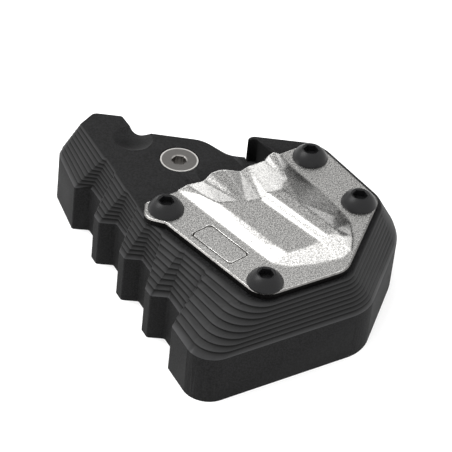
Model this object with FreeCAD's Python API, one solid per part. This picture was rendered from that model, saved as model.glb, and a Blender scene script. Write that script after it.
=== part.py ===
import FreeCAD, Part
import math
import os

# A stepped machined base that widens the foot of a side stand, the formed clamp plate on top of it,
# the four button-head screws that hold the plate down and one countersunk screw in the base's arm.
# Millimetres, Z up, the underside of the base on Z = 0; +X points to the rounded right end.

# Base heights
WALL_HEIGHT = 15.5
STEP_COUNT = 9
STEP_RISE = 1.1
RISER_PART = 0.5
BASE_TOP = WALL_HEIGHT + STEP_COUNT * STEP_RISE

# Saw-tooth edge: teeth in a row along a line at RACK_ANGLE, deep at the foot and nearly gone at the top
RACK_ANGLE = -59.1
TOOTH_COUNT = 4
TOOTH_PITCH = 17.35
TOOTH_TIP = 3.7
TOOTH_DEPTH = 4.5
FLANK_ANGLE = 28.0
FIRST_TOOTH_CORNER = (-44.5, 21.1)
TOOTH_RADIUS = 0.8

# Base outline, foot level: x, y, corner radius
FOOT_CORNER = (-1.6, -50.8, 14.5)
FOOT_RIGHT = [(44.0, -19.3, 14.0), (53.0, 20.1, 22.0), (34.6, 43.1, 8.0)]
FOOT_LEFT_BACK = [(-45.3, 45.7, 5.0), (-51.7, 37.5, 5.0)]

# Base outline, top level: each tooth corner, the root behind it and the start of the next tip
TOP_TEETH = [
    [(-36.3, 24.8), (-35.5, 24.0), (-32.7, 18.9), (-32.4, 18.3)],
    [(-28.5, 11.1), (-27.9, 10.2), (-24.9, 4.8), (-24.5, 4.0)],
    [(-20.8, -2.4), (-20.0, -3.1), (-17.0, -6.0), (-16.2, -6.8)],
    [(-10.2, -12.6), (-9.4, -13.3), (-3.0, -19.5), (-2.2, -20.3)],
]
TOP_TOOTH_RADIUS = 0.3
TOP_CORNER = (12.7, -34.4, 7.5)
TOP_RIGHT = [(37.3, -16.9, 5.5), (45.9, 18.7, 10.0), (25.8, 43.1, 8.0)]
TOP_LEFT_BACK = [(-42.2, 45.7, 2.2), (-45.2, 39.8, 1.5)]

# Back edge, the same at every level: block, opening for the stand's leg, arm
BACK_EDGE = [
    (4.7, 43.1, 2.2), (4.6, 32.4, 0.3), (-0.6, 32.4, 9.0), (-8.6, 38.3, 9.0),
    (-29.3, 38.9, 5.0), (-33.6, 45.7, 1.2),
]

# Pocket for the stand's foot, open through the back
POCKET_DEPTH = 8.0
POCKET_OUTLINE = [
    (3.0, 40.2, 0.3), (7.1, 41.9, 1.5), (31.5, 13.0, 5.0), (32.0, -6.0, 6.0), (17.0, -12.5, 5.0),
    (-10.0, 10.5, 4.0), (7.2, 24.9, 2.0), (5.6, 29.2, 0.5), (4.0, 33.0, 0.3),
]

# Round relief in the arm, its floor falling towards the back edge
RELIEF_RADIUS = 5.2
RELIEF_CENTRE = (-29.9, 33.2)
RELIEF_SLOPE = 11.0
RELIEF_LEAST_DEPTH = 0.15
RELIEF_FLARE = 0.6

# Clamp plate
PLATE_THICKNESS = 2.0
PLATE_EDGE_CHAMFER = 0.35
PLATE_OUTLINE = [
    (-22.7, 3.3, 1.6), (-22.5, -3.9, 3.5), (-16.0, -5.0, 2.0), (12.9, -32.8, 6.5), (36.3, -16.7, 8.0),
    (44.5, 17.1, 5.0), (24.4, 41.8, 7.0),
]
PLATE_TOP = BASE_TOP + PLATE_THICKNESS

# Raised form of the plate over the stand's foot: x, y and height above the flange of each corner
FORM_CORNERS = {
    "foot_1": (-13.9, 10.5, 0.0), "foot_2": (15.0, -16.9, 0.0), "foot_3": (20.4, -17.5, 0.0),
    "foot_4": (27.9, -14.9, 0.0), "foot_5": (34.8, -10.9, 0.0), "foot_6": (36.9, -7.2, 0.0),
    "foot_7": (37.0, -1.3, 0.0), "foot_8": (36.1, 4.9, 0.0), "foot_9": (34.4, 7.9, 0.0),
    "foot_10": (30.1, 13.6, 0.0), "foot_11": (24.0, 20.8, 0.0), "foot_12": (18.4, 27.2, 0.0),
    "foot_13": (14.2, 33.4, 0.0),
    "back_1": (12.5, 32.1, 1.3), "back_2": (11.0, 30.8, 0.6), "back_3": (10.2, 30.2, -0.7),
    "back_4": (5.5, 26.4, -0.7), "back_5": (3.5, 24.5, -1.3), "back_6": (-0.8, 22.1, 0.5),
    "back_7": (-2.8, 21.4, 0.6), "back_8": (-4.9, 19.6, 0.6), "back_9": (-6.9, 17.0, -0.6),
    "back_10": (-11.3, 12.6, 0.8),
    "brow_1": (-6.5, 7.2, 1.75), "brow_2": (12.6, -12.4, 1.75),
    "flat_1": (-2.3, 4.1, 2.2), "flat_2": (15.1, -12.1, 2.2), "flat_3": (19.2, -15.2, 2.2),
    "flat_4": (23.3, -12.4, 2.2), "flat_5": (28.2, -7.7, 2.2), "flat_6": (10.3, 8.1, 2.2),
    "flat_7": (6.2, 6.2, 2.2), "flat_8": (4.2, 6.0, 2.2),
    "shelf_1": (11.7, 8.9, 4.0), "shelf_2": (29.4, -7.4, 4.0), "shelf_3": (31.8, -3.7, 4.0),
    "shelf_4": (21.3, 6.4, 4.0), "shelf_5": (15.7, 11.2, 4.0),
    "nose_1": (32.5, -11.4, 0.5), "nose_2": (34.7, -10.3, 0.6), "nose_3": (35.6, -7.9, 1.5),
    "nose_4": (34.4, -5.9, 3.0), "knee": (16.8, 17.9, 3.2),
}
# Facets of the form; each is flat or a triangle, and goes round against the clock seen from above
FORM_FACETS = [
    "foot_1 foot_2 brow_2", "foot_1 brow_2 brow_1", "foot_1 brow_1 back_10",
    "brow_1 brow_2 flat_2", "brow_1 flat_2 flat_1",
    "foot_2 foot_3 flat_3", "foot_2 flat_3 flat_2", "foot_2 flat_2 brow_2",
    "foot_3 foot_4 flat_4", "foot_3 flat_4 flat_3", "foot_4 flat_5 flat_4", "foot_4 nose_1 flat_5",
    "foot_4 foot_5 nose_2", "foot_4 nose_2 nose_1",
    "flat_1 flat_2 flat_3 flat_4 flat_5 flat_6 flat_7 flat_8",
    "brow_1 flat_1 back_10", "flat_1 back_9 back_10", "flat_1 flat_8 back_9",
    "flat_8 back_6 back_7", "flat_8 back_7 back_8", "flat_8 back_8 back_9",
    "flat_7 flat_6 back_5", "flat_7 back_5 back_6", "flat_7 back_6 flat_8",
    "flat_6 shelf_1 back_4", "flat_6 back_4 back_5", "shelf_1 shelf_5 back_3", "shelf_1 back_3 back_4",
    "flat_6 flat_5 shelf_2", "flat_6 shelf_2 shelf_1", "shelf_1 shelf_2 shelf_3 shelf_4 shelf_5",
    "back_3 shelf_5 knee", "back_3 knee back_2", "back_2 knee back_1", "knee foot_13 back_1",
    "knee foot_12 foot_13", "knee foot_11 foot_12", "shelf_4 foot_11 knee", "shelf_5 shelf_4 knee",
    "shelf_4 foot_10 foot_11", "shelf_4 foot_9 foot_10", "shelf_4 foot_8 foot_9", "shelf_4 shelf_3 foot_8",
    "shelf_3 foot_7 foot_8", "shelf_3 nose_4 foot_7", "nose_4 nose_3 foot_7", "nose_3 foot_6 foot_7",
    "flat_5 nose_1 shelf_2", "shelf_2 nose_1 nose_2", "shelf_2 nose_2 nose_3", "shelf_2 nose_3 nose_4",
    "shelf_2 nose_4 shelf_3", "nose_2 foot_5 foot_6", "nose_2 foot_6 nose_3",
]
FORM_RIM = [f"foot_{number}" for number in range(1, 14)] + [f"back_{number}" for number in range(1, 11)]
BACK_CLEARANCE = 3.0

# Hollow under the form: outline on the base and outline of its ceiling, below the flat and below the shelf
HOLLOW_RISE = 2.2
HOLLOW_FOOT = [(-2.0, 5.5), (15.5, -11.0), (19.5, -13.0), (30.0, -8.5), (32.0, 2.0), (24.0, 12.0), (14.5, 14.0),
               (6.0, 6.5)]
HOLLOW_CEILING = [(0.0, 4.0), (15.5, -9.5), (19.3, -11.2), (28.0, -7.0), (29.0, 1.0), (23.0, 9.5), (15.0, 11.5),
                  (7.5, 5.0)]
SHELF_HOLLOW_RISE = 4.0
SHELF_HOLLOW_FOOT = [(12.5, 7.5), (28.5, -6.5), (31.0, -3.0), (22.0, 9.0), (16.0, 12.0)]
SHELF_HOLLOW_CEILING = [(14.0, 8.0), (27.5, -4.8), (29.3, -2.4), (21.5, 5.0), (16.0, 9.6)]

# Engraved frame on the plate's flange
FRAME_CENTRE = (0.0, -11.8)
FRAME_LENGTH = 16.6
FRAME_WIDTH = 7.6
FRAME_ANGLE = -43.8
FRAME_CUT = 0.8
GROOVE_WIDTH = 0.35
GROOVE_DEPTH = 0.2

# Button-head clamp screws, M6
THREAD_DIAMETER = 6.0
CLEARANCE_DIAMETER = 6.4
BUTTON_DIAMETER = 10.5
BUTTON_HEIGHT = 3.3
BUTTON_LAND = 0.3
BUTTON_FLAT = 5.4
SOCKET_ACROSS_FLATS = 4.0
SOCKET_DEPTH = 2.2
SOCKET_LEAD = 0.3
CLAMP_SCREW_LENGTH = 14.0
CLAMP_HOLE_SPARE = 2.0
CLAMP_SCREW_PLACES = [(-16.5, 1.2), (13.6, -25.9), (38.5, 14.3), (23.4, 33.2)]

# Countersunk screw in the arm, M6
SUNK_DIAMETER = 11.3
SUNK_LAND = 0.4
SUNK_BELOW_FACE = 0.15
SUNK_RECESS_DIAMETER = 11.9
ARM_SCREW_LENGTH = 18.0
ARM_SCREW_PLACE = (-14.8, 27.8)


def toward(point, angle, distance):
    """The point at a distance from another, in a direction given in degrees."""
    turn = math.radians(angle)
    return (point[0] + distance * math.cos(turn), point[1] + distance * math.sin(turn))


def rounded_wire(corners, height):
    """A closed flat wire through corners (x, y, radius); every rounded corner gives one arc."""
    count = len(corners)
    edges = []
    ends = []
    for index in range(count):
        x, y, radius = corners[index]
        here = FreeCAD.Vector(x, y, height)
        before = FreeCAD.Vector(*corners[index - 1][:2], height) - here
        after = FreeCAD.Vector(*corners[(index + 1) % count][:2], height) - here
        half = before.getAngle(after) / 2
        reach = min(radius / math.tan(half), 0.45 * before.Length, 0.45 * after.Length)
        before.normalize()
        after.normalize()
        middle = (before + after).normalize()
        arc_radius = reach * math.tan(half)
        apex = here + middle * (arc_radius / math.sin(half) - arc_radius)
        ends.append((here + before * reach, apex, here + after * reach))
    for index in range(count):
        start, apex, finish = ends[index]
        following = ends[(index + 1) % count][0]
        edges.append(Part.Arc(start, apex, finish).toShape())
        edges.append(Part.LineSegment(finish, following).toShape())
    return Part.Wire(edges)


def polygon_wire(points, height):
    """A closed flat wire with straight sides."""
    corners = [FreeCAD.Vector(x, y, height) for x, y in points]
    return Part.makePolygon(corners + corners[:1])


def prism(wire, rise):
    """A solid raised from a closed flat wire."""
    return Part.Face(wire).extrude(FreeCAD.Vector(0, 0, rise))


def faceted(lower, upper, height, rise):
    """A solid between two straight-sided outlines, one above the other."""
    return Part.makeLoft([polygon_wire(lower, height), polygon_wire(upper, height + rise)], True, True)


def form_corner(name):
    """A named corner of the plate's raised form, in space."""
    x, y, height = FORM_CORNERS[name]
    return FreeCAD.Vector(x, y, PLATE_TOP + height)


def facet_face(corners):
    """A flat face through corners in space."""
    return Part.Face(Part.makePolygon(corners + corners[:1]))


def foot_outline():
    """The base's outline at foot level."""
    corners = list(FOOT_LEFT_BACK)
    flank_run = TOOTH_DEPTH * math.tan(math.radians(FLANK_ANGLE))
    for index in range(TOOTH_COUNT):
        tip_end = toward(FIRST_TOOTH_CORNER, RACK_ANGLE, index * TOOTH_PITCH)
        root_line = toward(tip_end, RACK_ANGLE + 90, TOOTH_DEPTH)
        gap = TOOTH_PITCH - TOOTH_TIP
        root_start = toward(root_line, RACK_ANGLE, flank_run)
        root_end = toward(root_line, RACK_ANGLE, gap - flank_run)
        next_tip = toward(tip_end, RACK_ANGLE, gap)
        for point in (tip_end, root_start, root_end, next_tip):
            corners.append((point[0], point[1], TOOTH_RADIUS))
    return corners + [FOOT_CORNER] + FOOT_RIGHT + BACK_EDGE


def top_outline():
    """The base's outline at the top face."""
    corners = list(TOP_LEFT_BACK)
    for tooth in TOP_TEETH:
        corners += [(x, y, TOP_TOOTH_RADIUS) for x, y in tooth]
    return corners + [TOP_CORNER] + TOP_RIGHT + BACK_EDGE


def level_outline(part):
    """The outline a given part of the way from the foot level to the top."""
    pairs = zip(foot_outline(), top_outline())
    return [tuple(low + part * (high - low) for low, high in zip(*pair)) for pair in pairs]


def hexagon(across_flats, height):
    """A closed hexagonal wire on the Z axis."""
    radius = across_flats / math.sqrt(3)
    return polygon_wire([toward((0, 0), 60 * corner, radius) for corner in range(6)], height)


def socket(face_height):
    """The hexagon socket sunk from a screw's face, with its conical lead-in."""
    lead_radius = SOCKET_ACROSS_FLATS / math.sqrt(3) + SOCKET_LEAD / 2
    lead = Part.makeCone(lead_radius - SOCKET_LEAD, lead_radius, SOCKET_LEAD,
                         FreeCAD.Vector(0, 0, face_height - SOCKET_LEAD))
    return prism(hexagon(SOCKET_ACROSS_FLATS, face_height - SOCKET_DEPTH), SOCKET_DEPTH).fuse(lead)


def drilled(place, diameter, top, depth):
    """A vertical cylinder going down from a height."""
    return Part.makeCylinder(diameter / 2, depth, FreeCAD.Vector(*place, top - depth))


# Base: one stack of outlines, each step a plain riser and a sloped tread
sections = [rounded_wire(level_outline(0.0), 0.0)]
for step in range(STEP_COUNT):
    step_foot = WALL_HEIGHT + step * STEP_RISE
    step_edge = step_foot + RISER_PART * STEP_RISE if step else step_foot
    sections.append(rounded_wire(level_outline(step / STEP_COUNT), step_edge))
    if step < STEP_COUNT - 1:
        sections.append(rounded_wire(level_outline((step + 1) / STEP_COUNT), step_foot + STEP_RISE))
sections.append(rounded_wire(level_outline(1.0), BASE_TOP))
base = Part.makeLoft(sections, True, True)

pocket = prism(rounded_wire(POCKET_OUTLINE, BASE_TOP - POCKET_DEPTH), POCKET_DEPTH + 1)
base = base.cut(pocket)

relief_slope = math.radians(RELIEF_SLOPE)
relief_depth = RELIEF_LEAST_DEPTH + RELIEF_RADIUS * math.sin(relief_slope)
relief_floor = FreeCAD.Vector(*RELIEF_CENTRE, BASE_TOP - relief_depth)
relief_axis = FreeCAD.Vector(0, math.sin(relief_slope), math.cos(relief_slope))
relief_mouth = RELIEF_RADIUS + RELIEF_FLARE
base = base.cut(Part.makeCone(RELIEF_RADIUS, relief_mouth, POCKET_DEPTH, relief_floor, relief_axis))

clamp_hole_depth = CLAMP_SCREW_LENGTH - PLATE_THICKNESS + CLAMP_HOLE_SPARE
for place in CLAMP_SCREW_PLACES:
    base = base.cut(drilled(place, THREAD_DIAMETER, BASE_TOP, clamp_hole_depth))

# Countersunk screw, made on the Z axis with its face at BASE_TOP less its small set-back
sunk_face = BASE_TOP - SUNK_BELOW_FACE
sunk_cone = (SUNK_DIAMETER - THREAD_DIAMETER) / 2
sunk_shape = Part.makeCone(THREAD_DIAMETER / 2, SUNK_DIAMETER / 2, sunk_cone,
                           FreeCAD.Vector(0, 0, sunk_face - SUNK_LAND - sunk_cone))
sunk_shape = sunk_shape.fuse(drilled((0, 0), SUNK_DIAMETER, sunk_face, SUNK_LAND))
sunk_shape = sunk_shape.fuse(drilled((0, 0), THREAD_DIAMETER, sunk_face, ARM_SCREW_LENGTH))
arm_move = FreeCAD.Vector(*ARM_SCREW_PLACE, 0)
arm_seat = sunk_shape.fuse(drilled((0, 0), SUNK_RECESS_DIAMETER, BASE_TOP, SUNK_BELOW_FACE + SUNK_LAND))
arm_seat.translate(arm_move)
base = base.cut(arm_seat).removeSplitter()
arm_screw = sunk_shape.cut(socket(sunk_face)).removeSplitter()
arm_screw.translate(arm_move)

# Clamp plate: flange with a chamfered rim, faceted form over the stand's foot, hollow from below
flange = prism(rounded_wire(PLATE_OUTLINE, BASE_TOP), PLATE_THICKNESS)
top_edges = [edge for edge in flange.Edges
             if abs(edge.BoundBox.ZMin - PLATE_TOP) < 1e-6 and abs(edge.BoundBox.ZMax - PLATE_TOP) < 1e-6]
flange = flange.makeChamfer(PLATE_EDGE_CHAMFER, top_edges)

rim_points = [FORM_CORNERS[name][:2] for name in FORM_RIM]
edge_start, edge_end = FORM_CORNERS["foot_13"], FORM_CORNERS["foot_1"]
outward = math.degrees(math.atan2(edge_end[1] - edge_start[1], edge_end[0] - edge_start[0])) - 90
flange_points = [point for name, point in zip(FORM_RIM, rim_points) if name.startswith("foot")]
form_gap = flange_points + [toward(edge_start, outward, BACK_CLEARANCE), toward(edge_end, outward, BACK_CLEARANCE)]
flange = flange.cut(prism(polygon_wire(form_gap, BASE_TOP), PLATE_THICKNESS))

form_faces = [facet_face([form_corner(name) for name in facet.split()]) for facet in FORM_FACETS]
form_faces.append(Part.Face(polygon_wire(rim_points, BASE_TOP)))
for name, following in zip(FORM_RIM, FORM_RIM[1:] + FORM_RIM[:1]):
    start, finish = form_corner(name), form_corner(following)
    form_faces.append(facet_face([
        FreeCAD.Vector(start.x, start.y, BASE_TOP), FreeCAD.Vector(finish.x, finish.y, BASE_TOP), finish, start]))
form = Part.Solid(Part.makeShell(form_faces))
plate = flange.fuse(form)
plate = plate.cut(faceted(HOLLOW_FOOT, HOLLOW_CEILING, BASE_TOP, HOLLOW_RISE))
plate = plate.cut(faceted(SHELF_HOLLOW_FOOT, SHELF_HOLLOW_CEILING, BASE_TOP, SHELF_HOLLOW_RISE))

frame_half = (FRAME_LENGTH / 2, FRAME_WIDTH / 2)


def frame_corners(inset):
    """The engraved frame's eight corners, moved inward by an amount."""
    along, across = frame_half[0] - inset, frame_half[1] - inset
    cut = FRAME_CUT
    return [(-along, across - cut), (-along, cut - across), (cut - along, -across), (along - cut, -across),
            (along, cut - across), (along, across - cut), (along - cut, across), (cut - along, across)]


groove_floor = PLATE_TOP - GROOVE_DEPTH
groove = prism(polygon_wire(frame_corners(0), groove_floor), GROOVE_DEPTH)
groove = groove.cut(prism(polygon_wire(frame_corners(GROOVE_WIDTH), groove_floor), GROOVE_DEPTH))
groove.rotate(FreeCAD.Vector(0, 0, 0), FreeCAD.Vector(0, 0, 1), FRAME_ANGLE)
groove.translate(FreeCAD.Vector(*FRAME_CENTRE, 0))
plate = plate.cut(groove)
for place in CLAMP_SCREW_PLACES:
    plate = plate.cut(drilled(place, CLEARANCE_DIAMETER, PLATE_TOP, PLATE_THICKNESS))
plate = plate.removeSplitter()

# Button-head screw, made once on the Z axis and placed at each hole
dome_drop = ((BUTTON_DIAMETER / 2) ** 2 - (BUTTON_FLAT / 2) ** 2 + BUTTON_LAND ** 2 - BUTTON_HEIGHT ** 2)
dome_centre = dome_drop / (2 * (BUTTON_LAND - BUTTON_HEIGHT))
dome_radius = math.hypot(BUTTON_DIAMETER / 2, BUTTON_LAND - dome_centre)
dome_middle = (math.atan2(BUTTON_LAND - dome_centre, BUTTON_DIAMETER / 2)
               + math.atan2(BUTTON_HEIGHT - dome_centre, BUTTON_FLAT / 2)) / 2
head_base = FreeCAD.Vector(0, 0, PLATE_TOP)
rim_foot = head_base + FreeCAD.Vector(BUTTON_DIAMETER / 2, 0, 0)
rim_top = rim_foot + FreeCAD.Vector(0, 0, BUTTON_LAND)
flat_edge = head_base + FreeCAD.Vector(BUTTON_FLAT / 2, 0, BUTTON_HEIGHT)
flat_centre = head_base + FreeCAD.Vector(0, 0, BUTTON_HEIGHT)
dome_point = head_base + FreeCAD.Vector(dome_radius * math.cos(dome_middle), 0,
                                        dome_centre + dome_radius * math.sin(dome_middle))
profile = Part.Wire([
    Part.LineSegment(head_base, rim_foot).toShape(),
    Part.LineSegment(rim_foot, rim_top).toShape(),
    Part.Arc(rim_top, dome_point, flat_edge).toShape(),
    Part.LineSegment(flat_edge, flat_centre).toShape(),
    Part.LineSegment(flat_centre, head_base).toShape(),
])
head = Part.Face(profile).revolve(FreeCAD.Vector(0, 0, 0), FreeCAD.Vector(0, 0, 1), 360)
button_screw = head.fuse(drilled((0, 0), THREAD_DIAMETER, PLATE_TOP, CLAMP_SCREW_LENGTH))
button_screw = button_screw.cut(socket(PLATE_TOP + BUTTON_HEIGHT)).removeSplitter()

parts = {"base": base, "clamp_plate": plate, "arm_screw": arm_screw}
for number, place in enumerate(CLAMP_SCREW_PLACES, 1):
    screw = button_screw.copy()
    screw.translate(FreeCAD.Vector(*place, 0))
    parts[f"clamp_screw_{number}"] = screw

# The shared origin is under the middle of the base
box = base.optimalBoundingBox(False, False)
to_origin = FreeCAD.Vector(-(box.XMin + box.XMax) / 2, -(box.YMin + box.YMax) / 2, 0)
os.makedirs("parts", exist_ok=True)
for name, shape in parts.items():
    shape.translate(to_origin)
    shape.exportStep(f"parts/{name}.step")
    print(name, shape.isValid(), len(shape.Solids), round(shape.Volume, 1), shape.BoundBox)
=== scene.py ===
import bmesh
import bpy
import math
from mathutils import Matrix, Vector
from mathutils.bvhtree import BVHTree
from mathutils.geometry import delaunay_2d_cdt


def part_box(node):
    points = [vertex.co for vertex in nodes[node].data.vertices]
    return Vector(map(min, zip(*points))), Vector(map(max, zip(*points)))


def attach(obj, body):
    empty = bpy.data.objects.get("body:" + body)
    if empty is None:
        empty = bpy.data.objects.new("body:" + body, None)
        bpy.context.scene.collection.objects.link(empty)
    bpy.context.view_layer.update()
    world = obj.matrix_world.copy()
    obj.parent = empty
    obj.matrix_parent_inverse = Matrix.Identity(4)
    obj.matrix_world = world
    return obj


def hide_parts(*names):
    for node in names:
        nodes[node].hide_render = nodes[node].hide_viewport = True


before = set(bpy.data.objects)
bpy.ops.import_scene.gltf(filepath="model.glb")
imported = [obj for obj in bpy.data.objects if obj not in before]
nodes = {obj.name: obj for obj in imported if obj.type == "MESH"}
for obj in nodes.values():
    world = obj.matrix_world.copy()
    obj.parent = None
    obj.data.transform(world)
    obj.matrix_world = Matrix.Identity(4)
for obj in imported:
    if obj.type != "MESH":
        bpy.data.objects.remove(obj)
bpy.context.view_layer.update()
bpy.ops.object.select_all(action="DESELECT")


# The base: a block of aluminium milled in fine steps, then bead blasted and
# black anodised. A ball-nosed cutter has left a shallow dish at the arm's
# back edge. The crest of each step carries a painted highlight and its foot a painted shade.

MM = 0.001
MERGE = 0.001 * MM
BASE_SMOOTH_ANGLE = math.radians(28)


def linear(hex_colour):
    """An sRGB hex colour as linear red, green, blue and alpha."""
    channels = [int(hex_colour[place:place + 2], 16) / 255 for place in (1, 3, 5)]
    return tuple(c / 12.92 if c <= 0.04045 else ((c + 0.055) / 1.055) ** 2.4 for c in channels) + (1.0,)


def add_node(tree, kind, inputs=None, **settings):
    """A node with its settings and its inputs; an input is a value or another node's output."""
    node = tree.nodes.new(kind)
    for name, value in settings.items():
        setattr(node, name, value)
    for name, value in (inputs or {}).items():
        if isinstance(value, bpy.types.NodeSocket):
            tree.links.new(value, node.inputs[name])
        else:
            node.inputs[name].default_value = value
    return node


def new_material(name):
    """An empty node material, its tree and the object coordinates in metres."""
    material = bpy.data.materials.new(name)
    material.use_nodes = True
    tree = material.node_tree
    tree.nodes.clear()
    coordinates = add_node(tree, "ShaderNodeTexCoord").outputs["Object"]
    return material, tree, coordinates


def give_material(piece, material):
    """The material as the piece's only one."""
    piece.data.materials.clear()
    piece.data.materials.append(material)


def combine(piece, tool, operation):
    """Adds the tool's solid to the piece or cuts it away, and removes the tool."""
    bpy.context.view_layer.objects.active = piece
    change = piece.modifiers.new(tool.name, "BOOLEAN")
    change.operation = operation
    change.solver = "EXACT"
    change.object = tool
    bpy.ops.object.modifier_apply(modifier=change.name)
    bpy.data.objects.remove(tool)


base = bpy.data.objects.new("milled_base", nodes["base"].data.copy())
bpy.context.collection.objects.link(base)
bpy.context.view_layer.objects.active = base
base.select_set(True)
bpy.ops.object.mode_set(mode="EDIT")
bpy.ops.mesh.select_all(action="SELECT")
bpy.ops.mesh.remove_doubles(threshold=MERGE)
bpy.ops.object.mode_set(mode="OBJECT")
bpy.ops.object.select_all(action="DESELECT")

# A plug fills the relief up to the top face, and the ball cuts the dish in its place
PLUG_PLACE = Vector((-30.0, 34.1, 0)) * MM
PLUG_RADIUS = 5.6 * MM
PLUG_HEIGHT = 4.0 * MM
base_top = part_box("base")[1].z
bpy.ops.mesh.primitive_cylinder_add(
    vertices=64, radius=PLUG_RADIUS, depth=PLUG_HEIGHT,
    location=(PLUG_PLACE.x, PLUG_PLACE.y, base_top - PLUG_HEIGHT / 2))
combine(base, bpy.context.object, "UNION")
DISH_PLACE = Vector((-29.4, 36.4, 0)) * MM
DISH_RADIUS = 10.0 * MM
DISH_DEPTH = 2.0 * MM
ball_centre = (DISH_PLACE.x, DISH_PLACE.y, base_top - DISH_DEPTH + DISH_RADIUS)
bpy.ops.mesh.primitive_uv_sphere_add(
    segments=128, ring_count=128, radius=DISH_RADIUS, location=ball_centre, rotation=(math.pi / 2, 0, 0))
combine(base, bpy.context.object, "DIFFERENCE")
bpy.ops.object.select_all(action="DESELECT")
base.select_set(True)
bpy.context.view_layer.objects.active = base
bpy.ops.object.shade_smooth_by_angle(angle=BASE_SMOOTH_ANGLE)
even_normals = base.modifiers.new("even_normals", "WEIGHTED_NORMAL")
even_normals.keep_sharp = True
bpy.ops.object.modifier_apply(modifier=even_normals.name)
bpy.ops.object.select_all(action="DESELECT")
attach(base, "root")
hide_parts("base")

# Black anodising over a fine blast: near black, dull, with a grain of about 0.45 mm and slow
# drifts of its sheen over 12 mm. Walls are duller than level faces, and the risers carry a painted shade that
# makes them the darkest
anodised, tree, place = new_material("black_anodised_aluminium")
GRAIN = 0.45 * MM
DRIFT = 12 * MM
WALL_TOP = 15.5 * MM
STEP_RISE = 1.1 * MM
MARGIN = 0.1 * MM
UPRIGHT_BELOW = 0.3
LEVEL_ABOVE = 0.99
grain = add_node(tree, "ShaderNodeTexNoise", {
    "Vector": place, "Scale": 1 / GRAIN, "Detail": 3.0, "Roughness": 0.6})
drift = add_node(tree, "ShaderNodeTexNoise", {"Vector": place, "Scale": 1 / DRIFT, "Detail": 2.0})
grain_tone = add_node(tree, "ShaderNodeMapRange", {
    "Value": grain.outputs["Fac"], "From Min": 0.42, "From Max": 0.58, "To Min": 0.0, "To Max": 1.0})
dyed = add_node(tree, "ShaderNodeMix", {
    "Factor": grain_tone.outputs["Result"], "A": linear("#030303"), "B": linear("#141415")}, data_type="RGBA")
sheen_roughness = add_node(tree, "ShaderNodeMapRange", {
    "Value": drift.outputs["Fac"], "From Min": 0.3, "From Max": 0.7, "To Min": 0.5, "To Max": 0.6})
facing = add_node(tree, "ShaderNodeSeparateXYZ", {
    "Vector": add_node(tree, "ShaderNodeNewGeometry").outputs["True Normal"]})
height = add_node(tree, "ShaderNodeSeparateXYZ", {"Vector": place})
above_wall = add_node(tree, "ShaderNodeMath", {
    0: height.outputs["Z"], 1: WALL_TOP + MARGIN}, operation="GREATER_THAN")
upright = add_node(tree, "ShaderNodeMath", {
    0: facing.outputs["Z"], 1: UPRIGHT_BELOW}, operation="LESS_THAN")
riser_painted_shade = add_node(tree, "ShaderNodeMath", {
    0: above_wall.outputs["Value"], 1: upright.outputs["Value"]}, operation="MULTIPLY")
not_level = add_node(tree, "ShaderNodeMath", {
    0: facing.outputs["Z"], 1: LEVEL_ABOVE}, operation="LESS_THAN")
slanted = add_node(tree, "ShaderNodeMath", {
    0: not_level.outputs["Value"], 1: upright.outputs["Value"]}, operation="SUBTRACT")
ball_distance = add_node(tree, "ShaderNodeVectorMath", {0: place, 1: ball_centre}, operation="DISTANCE")
off_the_dish = add_node(tree, "ShaderNodeMath", {
    0: ball_distance.outputs["Value"], 1: DISH_RADIUS + MARGIN}, operation="GREATER_THAN")
tread = add_node(tree, "ShaderNodeMath", {
    0: slanted.outputs["Value"], 1: off_the_dish.outputs["Value"]}, operation="MULTIPLY")
height_over_wall = add_node(tree, "ShaderNodeMath", {
    0: height.outputs["Z"], 1: WALL_TOP}, operation="SUBTRACT")
steps_up = add_node(tree, "ShaderNodeMath", {
    0: height_over_wall.outputs["Value"], 1: STEP_RISE}, operation="DIVIDE")
within_step = add_node(tree, "ShaderNodeMath", {0: steps_up.outputs["Value"]}, operation="FRACT")
# Painted highlight on each step's crest, fading to a painted shade at its foot
painted_crest_highlight_foot_shade = add_node(tree, "ShaderNodeMix", {
    "Factor": within_step.outputs["Value"], "A": linear("#363637"), "B": linear("#080808")}, data_type="RGBA")
tread_tone = add_node(tree, "ShaderNodeMix", {
    "Factor": tread.outputs["Value"], "A": dyed.outputs["Result"], "B": painted_crest_highlight_foot_shade.outputs["Result"]},
    data_type="RGBA")
# The risers get a painted shade, near black
base_tone = add_node(tree, "ShaderNodeMix", {
    "Factor": riser_painted_shade.outputs["Value"], "A": tread_tone.outputs["Result"], "B": linear("#040404")},
    data_type="RGBA")
base_roughness = add_node(tree, "ShaderNodeMix", {
    "Factor": upright.outputs["Value"], "A": sheen_roughness.outputs["Result"], "B": 0.74})
blast = add_node(tree, "ShaderNodeBump", {
    "Height": grain.outputs["Fac"], "Distance": 0.03 * MM, "Strength": 0.8})
shader = add_node(tree, "ShaderNodeBsdfPrincipled", {
    "Base Color": base_tone.outputs["Result"], "Metallic": 0.0, "Roughness": base_roughness.outputs["Result"],
    "IOR": 1.5, "Specular IOR Level": 0.165, "Normal": blast.outputs["Normal"]})
add_node(tree, "ShaderNodeOutputMaterial", {"Surface": shader.outputs["BSDF"]})
give_material(base, anodised)


# The clamp plate: stainless steel pressed to shape over the stand's foot and
# then coarsely blasted. The bare metal is bright, with a salt-and-pepper
# grain that shows most on its flat flange.

FLANGE_TOP = 27.4 * MM
HAIR = 0.01 * MM
WALL_TILT = 0.3
BEVEL_TILT = 0.85
BEVEL_REACH = 1.0 * MM
GROOVE_DEPTH = 0.2 * MM
MESH_SIDE = 0.5 * MM
NET_MARGIN = 0.4 * MESH_SIDE
FOLD_ROUNDS = 1
PLATE_SMOOTH_ANGLE = math.radians(32)
plate = bpy.data.objects.new("pressed_plate", nodes["clamp_plate"].data.copy())
bpy.context.collection.objects.link(plate)
bpy.context.view_layer.objects.active = plate
plate.select_set(True)
bpy.ops.object.mode_set(mode="EDIT")
bpy.ops.mesh.select_all(action="SELECT")
bpy.ops.mesh.remove_doubles(threshold=MERGE)
bpy.ops.object.mode_set(mode="OBJECT")


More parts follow.
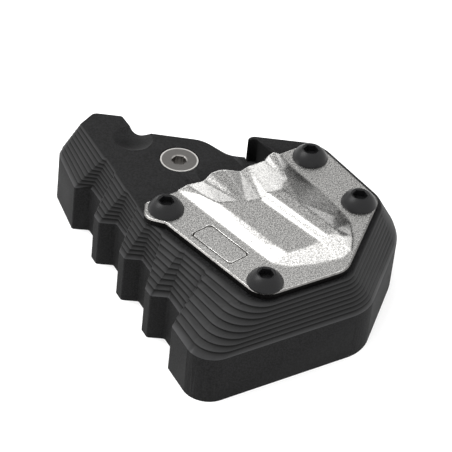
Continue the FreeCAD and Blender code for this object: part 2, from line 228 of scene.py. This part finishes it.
def is_upper(face):
    """True for the flange's top and for the raised form, but not for chamfers, walls and the groove."""
    heights = [vertex.co.z for vertex in face.verts]
    flat_top = min(heights) > FLANGE_TOP - HAIR
    return face.normal.z > WALL_TILT and (flat_top or max(heights) > FLANGE_TOP + HAIR)


def upper_faces_and_rim():
    """The faces of the upper surface, and the edges where it ends, both in the mesh's order."""
    faces = [face for face in solid.faces if is_upper(face)]
    return faces, [edge for edge in solid.edges if sum(is_upper(near) for near in edge.link_faces) == 1]


def height_of_upper(x, y):
    """The height of the upper surface over a place, or None beside it and over its holes."""
    spot, _, index, _ = old_surface.ray_cast(Vector((x, y, 1.0)), Vector((0, 0, -1)))
    return spot.z if index in old_upper else None


# The back edge of the form gets points as close as the new surface will have
solid = bmesh.new()
solid.from_mesh(plate.data)
upper_faces, rim = upper_faces_and_rim()
for edge in rim:
    if max(abs(vertex.co.z - FLANGE_TOP) for vertex in edge.verts) > HAIR:
        bmesh.ops.bisect_edges(solid, edges=[edge], cuts=int(edge.calc_length() / MESH_SIDE))
solid.faces.ensure_lookup_table()
solid.verts.index_update()
upper_faces, rim = upper_faces_and_rim()
old_surface = BVHTree.FromBMesh(solid)
old_upper = {face.index for face in upper_faces}

# An even net of points between the rims, joined to them by triangles
rim_points = list(dict.fromkeys(vertex for edge in rim for vertex in edge.verts))
place_of = {vertex: place for place, vertex in enumerate(rim_points)}
net = [vertex.co.copy() for vertex in rim_points]
low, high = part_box("clamp_plate")
row_step = MESH_SIDE * math.sqrt(3) / 2
for row in range(int((high.y - low.y) / row_step)):
    y = low.y + row * row_step
    for column in range(int((high.x - low.x) / MESH_SIDE)):
        x = low.x + (column + 0.5 * (row % 2)) * MESH_SIDE
        beside_x = [height_of_upper(x + side * NET_MARGIN, y) for side in (1, -1)]
        beside_y = [height_of_upper(x, y + side * NET_MARGIN) for side in (1, -1)]
        if None not in beside_x + beside_y:
            net.append(Vector((x, y, height_of_upper(x, y))))
flat_net = [point.xy / MM for point in net]
rim_pairs = [tuple(place_of[vertex] for vertex in edge.verts) for edge in rim]
points, _, triangles, sources = delaunay_2d_cdt(flat_net, rim_pairs, [], 0, 1e-6)[:4]
new_place = {old: place for place, source in enumerate(sources) for old in source}
rim_sides = {frozenset((new_place[start], new_place[finish])) for start, finish in rim_pairs}
at_rim = {new_place[old] for old in range(len(rim_points))}


def open_sides(corners):
    """The sides of a triangle that aren't on a rim."""
    pairs = (frozenset((corners[turn - 1], corners[turn])) for turn in range(3))
    return [pair for pair in pairs if pair not in rim_sides]


# Only triangles that hang together with the net are kept: the others close holes in the plate
sharing = {}
for number, corners in enumerate(triangles):
    for pair in open_sides(corners):
        sharing.setdefault(pair, []).append(number)
reached = {number for number, corners in enumerate(triangles) if not at_rim.issuperset(corners)}
waiting = list(reached)
while waiting:
    for pair in open_sides(triangles[waiting.pop()]):
        for number in sharing[pair]:
            if number not in reached:
                reached.add(number)
                waiting.append(number)
triangles = [triangles[number] for number in sorted(reached)]

# Every fold is eased in height; the flange's rims stay, and the back edge is eased along itself
heights = [net[source[0]].z for source in sources]
neighbours = [set() for point in points]
for corners in triangles:
    for index in corners:
        neighbours[index].update(corners)
for index in at_rim:
    along_rim = {near for near in neighbours[index] if frozenset((index, near)) in rim_sides}
    neighbours[index] = along_rim | {index}
fixed = {index for index in at_rim if abs(heights[index] - FLANGE_TOP) < HAIR}
for easing in range(FOLD_ROUNDS):
    heights = [height if index in fixed or not near else
               0.5 * height + 0.5 * sum(heights[other] for other in near) / len(near)
               for index, (height, near) in enumerate(zip(heights, neighbours))]

bmesh.ops.delete(solid, geom=upper_faces, context="FACES_ONLY")
made = {}
for index, point in enumerate(points):
    if index in at_rim:
        made[index] = rim_points[sources[index][0]]
        made[index].co.z = heights[index]
    else:
        made[index] = solid.verts.new((point.x * MM, point.y * MM, heights[index]))
for corners in triangles:
    solid.faces.new([made[index] for index in corners])
bmesh.ops.delete(solid, geom=[vertex for vertex in solid.verts if not vertex.link_faces], context="VERTS")
solid.normal_update()
plate.data.materials.clear()
solid.to_mesh(plate.data)
solid.free()
bpy.ops.object.shade_smooth_by_angle(angle=PLATE_SMOOTH_ANGLE)
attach(plate, "root")
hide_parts("clamp_plate")

# Stainless steel, bead blasted: bright, neutral, with pits of about 0.4 mm in light and dark grains
blasted, tree, place = new_material("blasted_stainless_steel")
BLAST_GRAIN = 0.38 * MM
pits = add_node(tree, "ShaderNodeTexNoise", {
    "Vector": place, "Scale": 1 / BLAST_GRAIN, "Detail": 2.0, "Roughness": 0.7})
pit_tone = add_node(tree, "ShaderNodeMapRange", {
    "Value": pits.outputs["Fac"], "From Min": 0.38, "From Max": 0.62, "To Min": 0.0, "To Max": 1.0})
steel_tone = add_node(tree, "ShaderNodeMix", {
    "Factor": pit_tone.outputs["Result"], "A": linear("#929190"), "B": linear("#e6e5e2")}, data_type="RGBA")
steel_roughness = add_node(tree, "ShaderNodeMapRange", {
    "Value": pits.outputs["Fac"], "From Min": 0.35, "From Max": 0.65, "To Min": 0.2, "To Max": 0.32})
pit_bump = add_node(tree, "ShaderNodeBump", {
    "Height": pits.outputs["Fac"], "Distance": 0.035 * MM, "Strength": 0.5})
shader = add_node(tree, "ShaderNodeBsdfPrincipled", {
    "Base Color": steel_tone.outputs["Result"], "Metallic": 1.0,
    "Roughness": steel_roughness.outputs["Result"], "Normal": pit_bump.outputs["Normal"]})
add_node(tree, "ShaderNodeOutputMaterial", {"Surface": shader.outputs["BSDF"]})
plate.data.materials.append(blasted)

# The laser leaves the cut edge rough, with fine upright lines; its near black colour is a painted shade under
# the plate's rim
cut_edge, tree, place = new_material("laser_cut_edge_painted_shade")
STRIATION = 0.3 * MM
upright_place = add_node(tree, "ShaderNodeMapping", {
    "Vector": place, "Scale": (1, 1, 0.1)}, vector_type="POINT")
striations = add_node(tree, "ShaderNodeTexNoise", {
    "Vector": upright_place.outputs["Vector"], "Scale": 1 / STRIATION, "Detail": 1.0})
# Near black tones on the plate's side: painted shade
cut_painted_shade_tone = add_node(tree, "ShaderNodeMix", {
    "Factor": striations.outputs["Fac"], "A": linear("#0a0a0a"), "B": linear("#1c1b1b")}, data_type="RGBA")
cut_bump = add_node(tree, "ShaderNodeBump", {
    "Height": striations.outputs["Fac"], "Distance": 0.05 * MM, "Strength": 0.6})
shader = add_node(tree, "ShaderNodeBsdfPrincipled", {
    "Base Color": cut_painted_shade_tone.outputs["Result"], "Metallic": 1.0, "Roughness": 0.75,
    "Normal": cut_bump.outputs["Normal"]})
add_node(tree, "ShaderNodeOutputMaterial", {"Surface": shader.outputs["BSDF"]})
plate.data.materials.append(cut_edge)

# The engraved frame is a shallow groove that the laser has burnt dark
engraved, tree, place = new_material("laser_engraved_line")
BURN_GRAIN = 0.4 * MM
burn = add_node(tree, "ShaderNodeTexNoise", {"Vector": place, "Scale": 1 / BURN_GRAIN, "Detail": 2.0})
burn_tone = add_node(tree, "ShaderNodeMix", {
    "Factor": burn.outputs["Fac"], "A": linear("#151412"), "B": linear("#34322e")}, data_type="RGBA")
shader = add_node(tree, "ShaderNodeBsdfPrincipled", {
    "Base Color": burn_tone.outputs["Result"], "Specular IOR Level": 0.1, "Roughness": 0.9})
add_node(tree, "ShaderNodeOutputMaterial", {"Surface": shader.outputs["BSDF"]})
plate.data.materials.append(engraved)

# The bevel round the edge is painted greyer and darker than the blasted faces, a painted shade that dims the
# light on the rim
bevelled, tree, place = new_material("bevelled_steel_edge_painted_shade")
SCUFF = 1.5 * MM
scuffs = add_node(tree, "ShaderNodeTexNoise", {"Vector": place, "Scale": 1 / SCUFF, "Detail": 2.0})
# Darker tones on the bevel: painted shade
bevel_painted_shade_tone = add_node(tree, "ShaderNodeMix", {
    "Factor": scuffs.outputs["Fac"], "A": linear("#3a3938"), "B": linear("#8a8886")}, data_type="RGBA")
shader = add_node(tree, "ShaderNodeBsdfPrincipled", {
    "Base Color": bevel_painted_shade_tone.outputs["Result"], "Metallic": 1.0, "Roughness": 0.45})
add_node(tree, "ShaderNodeOutputMaterial", {"Surface": shader.outputs["BSDF"]})
plate.data.materials.append(bevelled)

# The new upper surface comes last in the mesh and stays blasted; the faces before it are sorted
BLASTED_SLOT, CUT_SLOT, ENGRAVED_SLOT, BEVEL_SLOT = range(4)
upper_from = len(plate.data.polygons) - len(triangles)
for face in plate.data.polygons[:upper_from]:
    depths = [FLANGE_TOP - plate.data.vertices[index].co.z for index in face.vertices]
    near_top = max(abs(depth) for depth in depths) < BEVEL_REACH
    if HAIR < max(depths) < GROOVE_DEPTH + HAIR and -HAIR < min(depths):
        face.material_index = ENGRAVED_SLOT
    elif abs(face.normal.z) < WALL_TILT:
        face.material_index = CUT_SLOT
    elif near_top and WALL_TILT < face.normal.z < BEVEL_TILT:
        face.material_index = BEVEL_SLOT
    else:
        face.material_index = BLASTED_SLOT


# The four clamp screws: button heads in hardened steel with a black oxide
# finish, slightly oily, so their domes carry a soft grey light.

oxide, tree, place = new_material("black_oxide_steel")
OXIDE_GRAIN = 0.3 * MM
mottle = add_node(tree, "ShaderNodeTexNoise", {"Vector": place, "Scale": 1 / OXIDE_GRAIN, "Detail": 3.0})
oxide_roughness = add_node(tree, "ShaderNodeMapRange", {
    "Value": mottle.outputs["Fac"], "From Min": 0.3, "From Max": 0.7, "To Min": 0.32, "To Max": 0.46})
oxide_tone = add_node(tree, "ShaderNodeMix", {
    "Factor": mottle.outputs["Fac"], "A": linear("#0b0b0c"), "B": linear("#161617")}, data_type="RGBA")
oxide_bump = add_node(tree, "ShaderNodeBump", {
    "Height": mottle.outputs["Fac"], "Distance": 0.01 * MM, "Strength": 0.4})
shader = add_node(tree, "ShaderNodeBsdfPrincipled", {
    "Base Color": oxide_tone.outputs["Result"], "Metallic": 0.0,
    "Roughness": oxide_roughness.outputs["Result"], "IOR": 1.5, "Specular IOR Level": 0.19,
    "Normal": oxide_bump.outputs["Normal"]})
add_node(tree, "ShaderNodeOutputMaterial", {"Surface": shader.outputs["BSDF"]})
for number in range(1, 5):
    give_material(nodes[f"clamp_screw_{number}"], oxide)


# The countersunk screw in the arm: bare stainless steel turned on a lathe,
# with the tool's fine rings round its socket and a painted highlight round its rim.

turned, tree, place = new_material("turned_stainless_steel")
RING_STEP = 0.3 * MM
RIM_FROM = 5.1 * MM
RIM_TO = 5.3 * MM
screw_low, screw_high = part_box("arm_screw")
screw_centre = (screw_low + screw_high) / 2
centred = add_node(tree, "ShaderNodeMapping", {
    "Vector": place, "Location": (-screw_centre.x, -screw_centre.y, 0.0)}, vector_type="POINT")
rings = add_node(tree, "ShaderNodeTexWave", {
    "Vector": centred.outputs["Vector"], "Scale": 2 * math.pi / (20 * RING_STEP), "Distortion": 0.3},
    wave_type="RINGS", rings_direction="Z")
ring_bump = add_node(tree, "ShaderNodeBump", {
    "Height": rings.outputs["Fac"], "Distance": 0.01 * MM, "Strength": 0.5})
ring_tone = add_node(tree, "ShaderNodeMix", {
    "Factor": rings.outputs["Fac"], "A": linear("#6f6d6b"), "B": linear("#8d8b88")}, data_type="RGBA")
flattened = add_node(tree, "ShaderNodeVectorMath", {
    0: centred.outputs["Vector"], 1: (1, 1, 0)}, operation="MULTIPLY")
from_axis = add_node(tree, "ShaderNodeVectorMath", {0: flattened.outputs["Vector"]}, operation="LENGTH")
# A bright band round the rim: a painted highlight on its chamfer
painted_rim_highlight = add_node(tree, "ShaderNodeMapRange", {
    "Value": from_axis.outputs["Value"], "From Min": RIM_FROM, "From Max": RIM_TO,
    "To Min": 0.0, "To Max": 1.0})
head_tone = add_node(tree, "ShaderNodeMix", {
    "Factor": painted_rim_highlight.outputs["Result"], "A": ring_tone.outputs["Result"], "B": linear("#f2f0ec")},
    data_type="RGBA")
shader = add_node(tree, "ShaderNodeBsdfPrincipled", {
    "Base Color": head_tone.outputs["Result"], "Metallic": 1.0, "Roughness": 0.3,
    "Normal": ring_bump.outputs["Normal"]})
add_node(tree, "ShaderNodeOutputMaterial", {"Surface": shader.outputs["BSDF"]})
give_material(nodes["arm_screw"], turned)


# The studio: a plain white floor that keeps the part's shadow, one soft lamp
# high on the left, and a pale surround that the steel reflects.

bpy.ops.mesh.primitive_plane_add(size=6.0, location=(0, 0, 0))
floor = bpy.context.object
floor.name = "floor"
FLOOR_GLOW = 0.4
floor_white, tree, place = new_material("floor_white")
path = add_node(tree, "ShaderNodeLightPath")
direct = add_node(tree, "ShaderNodeMath", {
    0: path.outputs["Is Camera Ray"], 1: path.outputs["Is Glossy Ray"]}, operation="MAXIMUM")
shown = add_node(tree, "ShaderNodeMath", {
    0: direct.outputs["Value"], 1: path.outputs["Is Transmission Ray"]}, operation="MAXIMUM")
glow_level = add_node(tree, "ShaderNodeMath", {
    0: shown.outputs["Value"], 1: FLOOR_GLOW}, operation="MULTIPLY")
matt = add_node(tree, "ShaderNodeBsdfDiffuse", {"Color": linear("#cfcfcf")})
glow = add_node(tree, "ShaderNodeEmission", {"Color": (1, 1, 1, 1), "Strength": glow_level.outputs["Value"]})
floor_light = add_node(tree, "ShaderNodeAddShader", {0: matt.outputs["BSDF"], 1: glow.outputs["Emission"]})
add_node(tree, "ShaderNodeOutputMaterial", {"Surface": floor_light.outputs["Shader"]})
give_material(floor, floor_white)

LAMP_PLACE = Vector((-0.55, 0.1, 0.8))
bpy.ops.object.light_add(type="AREA", location=LAMP_PLACE)
lamp = bpy.context.object
lamp.name = "left"
lamp.data.shape = "SQUARE"
lamp.data.size = 0.5
lamp.data.energy = 6.0
lamp.rotation_euler = (-LAMP_PLACE).to_track_quat("-Z", "Y").to_euler()

# The surround by direction: white in front and overhead, a ramp of greys over the height behind,
# and a dark screen behind on the right
BEHIND_GREYS = ((0.0, 0.9), (0.22, 0.9), (0.36, 0.12), (0.5, 0.14), (0.62, 0.2), (0.8, 0.6))
BEHIND_LEVEL = 2.4
RIGHT_LEVEL = 1.1
FRONT_LEVEL = 1.7
world = bpy.data.worlds.new("surround")
bpy.context.scene.world = world
world.use_nodes = True
tree = world.node_tree
tree.nodes.clear()
direction = add_node(tree, "ShaderNodeSeparateXYZ", {
    "Vector": add_node(tree, "ShaderNodeTexCoord").outputs["Generated"]})
behind = add_node(tree, "ShaderNodeValToRGB", {"Fac": direction.outputs["Z"]})
for height, grey in BEHIND_GREYS:
    stop = behind.color_ramp.elements.new(height)
    stop.color = (grey, grey, grey, 1.0)
behind.color_ramp.elements.remove(behind.color_ramp.elements[0])
behind_level = add_node(tree, "ShaderNodeMath", {
    0: behind.outputs["Color"], 1: BEHIND_LEVEL}, operation="MULTIPLY")
flag = add_node(tree, "ShaderNodeMapRange", {
    "Value": direction.outputs["X"], "From Min": 0.08, "From Max": 0.22, "To Min": 1.0, "To Max": 0.12})
flagged = add_node(tree, "ShaderNodeMath", {
    0: behind_level.outputs["Value"], 1: flag.outputs["Result"]}, operation="MULTIPLY")
rightward = add_node(tree, "ShaderNodeMapRange", {
    "Value": direction.outputs["X"], "From Min": 0.42, "From Max": 0.55, "To Min": 0.0, "To Max": 1.0})
back_and_right = add_node(tree, "ShaderNodeMix", {
    "Factor": rightward.outputs["Result"], "A": flagged.outputs["Value"], "B": RIGHT_LEVEL})
backward = add_node(tree, "ShaderNodeMapRange", {
    "Value": direction.outputs["Y"], "From Min": 0.45, "From Max": 0.7, "To Min": 0.0, "To Max": 1.0})
level = add_node(tree, "ShaderNodeMix", {
    "Factor": backward.outputs["Result"], "A": FRONT_LEVEL, "B": back_and_right.outputs["Result"]})
surround = add_node(tree, "ShaderNodeBackground", {
    "Color": (1, 1, 1, 1), "Strength": level.outputs["Result"]})
add_node(tree, "ShaderNodeOutputWorld", {"Surface": surround.outputs["Background"]})

# The camera looks down at the part from the front, tipped a little to one side
ELEVATION = math.radians(38.8)
TIP = math.radians(6.55)
DISTANCE = 0.765
FOCAL_PIXELS = 2540
FRAME_PIXELS = 452
SENSOR_WIDTH = 36.0
TARGET = Vector((0.000937, 0.03168, 0.0))
forward = Vector((0, math.cos(ELEVATION), -math.sin(ELEVATION)))
level_right = Vector((1, 0, 0))
level_up = Vector((0, math.sin(ELEVATION), math.cos(ELEVATION)))
right = level_right * math.cos(TIP) + level_up * math.sin(TIP)
up = level_up * math.cos(TIP) - level_right * math.sin(TIP)
bpy.ops.object.camera_add()
camera = bpy.context.object
turn = Matrix((right, up, -forward)).transposed().to_4x4()
camera.matrix_world = Matrix.Translation(TARGET - forward * DISTANCE) @ turn
camera.data.sensor_width = SENSOR_WIDTH
camera.data.lens = FOCAL_PIXELS / FRAME_PIXELS * SENSOR_WIDTH
camera.data.clip_start = 0.01
bpy.context.scene.camera = camera
bpy.context.scene.view_settings.view_transform = "Standard"
